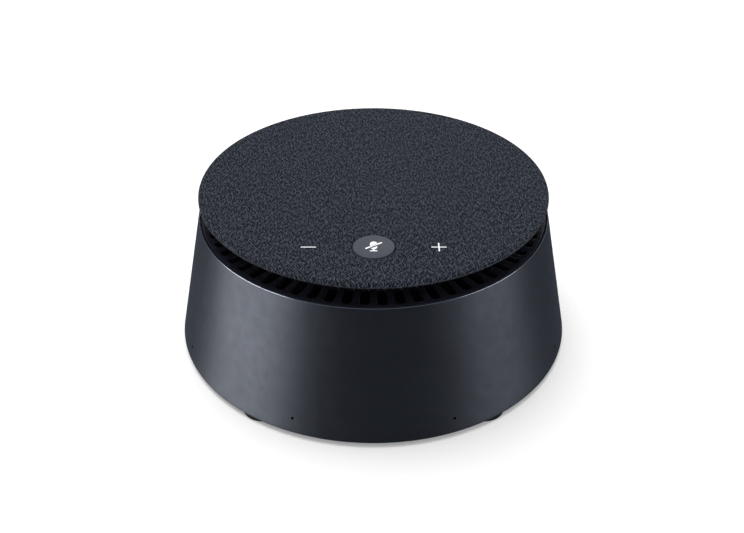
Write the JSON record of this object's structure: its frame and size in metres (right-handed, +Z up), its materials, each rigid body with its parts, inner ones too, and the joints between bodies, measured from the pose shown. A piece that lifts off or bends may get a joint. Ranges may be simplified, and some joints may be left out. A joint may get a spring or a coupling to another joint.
{
  "type": "conference speakerphone",
  "caption": "Round tabletop conference speakerphone: conical metal housing, slotted sound ring and floating fabric-covered top with a mute button and volume marks.",
  "frame": {"origin": "centre of the plane that the rubber feet stand on", "axes": "+Z up along the housing's axis, front with the mute button towards -Y, socket towards +Y"},
  "size_m": [0.1626, 0.1626, 0.0672],
  "materials": {
    "housing_metal": "satin dark grey metallic coat",
    "gloss_black": "glossy black",
    "matt_black": "fine moulded black",
    "table_fabric": "fine woven charcoal",
    "button_grey": "satin grey",
    "white_inlay": "translucent white",
    "black_rubber": "matt",
    "board_green": "solder mask",
    "screw_steel": "zinc plated",
    "bright_steel": "bright",
    "magnet_black": "sintered ferrite",
    "copper": "copper",
    "mic_brass": "gold plated lid",
    "basket_metal": "black enamel",
    "cone_paper": "black fibre pulp",
    "spider_cloth": "resin-dipped cloth",
    "chip_black": "moulded epoxy",
    "ribbon_amber": "flexible film"
  },
  "bodies": {
    "housing": {"body_shell": "housing_metal", "sound_ring": "gloss_black", "post_screws": "screw_steel", "table_hub": "matt_black", "table_plate": "matt_black", "fabric_cover": "table_fabric", "hem_hoop": "matt_black", "volume_down_mark": "white_inlay", "volume_up_mark": "white_inlay", "switch_body": "matt_black", "switch_dome": "bright_steel", "key_board": "board_green", "key_lamps": "white_inlay", "touch_pads": "copper", "hub_screws": "screw_steel", "sound_deflector": "matt_black", "speaker_chamber": "matt_black", "speaker_gasket": "black_rubber", "speaker_basket": "basket_metal", "speaker_screws": "screw_steel", "speaker_yoke": "bright_steel", "speaker_magnet": "magnet_black", "front_plate": "bright_steel", "cone_surround": "black_rubber", "speaker_spider": "spider_cloth", "base_plate": "matt_black", "base_screws": "screw_steel", "main_board": "board_green", "board_screws": "screw_steel", "main_chips": "chip_black", "shield_cans": "bright_steel", "key_ribbon": "ribbon_amber", "mic_boots": "black_rubber", "socket_shell": "bright_steel", "socket_tongue": "matt_black", "socket_trim": "matt_black", "foot_1": "black_rubber", "foot_2": "black_rubber", "foot_3": "black_rubber", "foot_4": "black_rubber", "foot_5": "black_rubber", "microphone_1": "mic_brass", "microphone_2": "mic_brass", "microphone_3": "mic_brass", "microphone_4": "mic_brass", "microphone_5": "mic_brass", "microphone_6": "mic_brass", "microphone_7": "mic_brass", "microphone_8": "mic_brass"},
    "mute_key": {"mute_button": "button_grey", "mute_icon": "white_inlay", "switch_plunger": "white_inlay"},
    "cone": {"voice_coil": "copper", "speaker_cone": "cone_paper", "dust_cap": "cone_paper"}
  },
  "joints": [
    {"name": "mute_press", "type": "slide", "parent": "housing", "child": "mute_key", "axis": [0, 0, -1], "range_m": [0, 0.0006], "stiffness_N_per_m": 2500, "springref_m": -0.0004, "deforming": ["switch_dome"]},
    {"name": "cone_stroke", "type": "slide", "parent": "housing", "child": "cone", "axis": [0, 0, 1], "range_m": [-0.0015, 0.0015], "stiffness_N_per_m": 1200, "deforming": ["cone_surround", "speaker_spider"]}
  ]
}
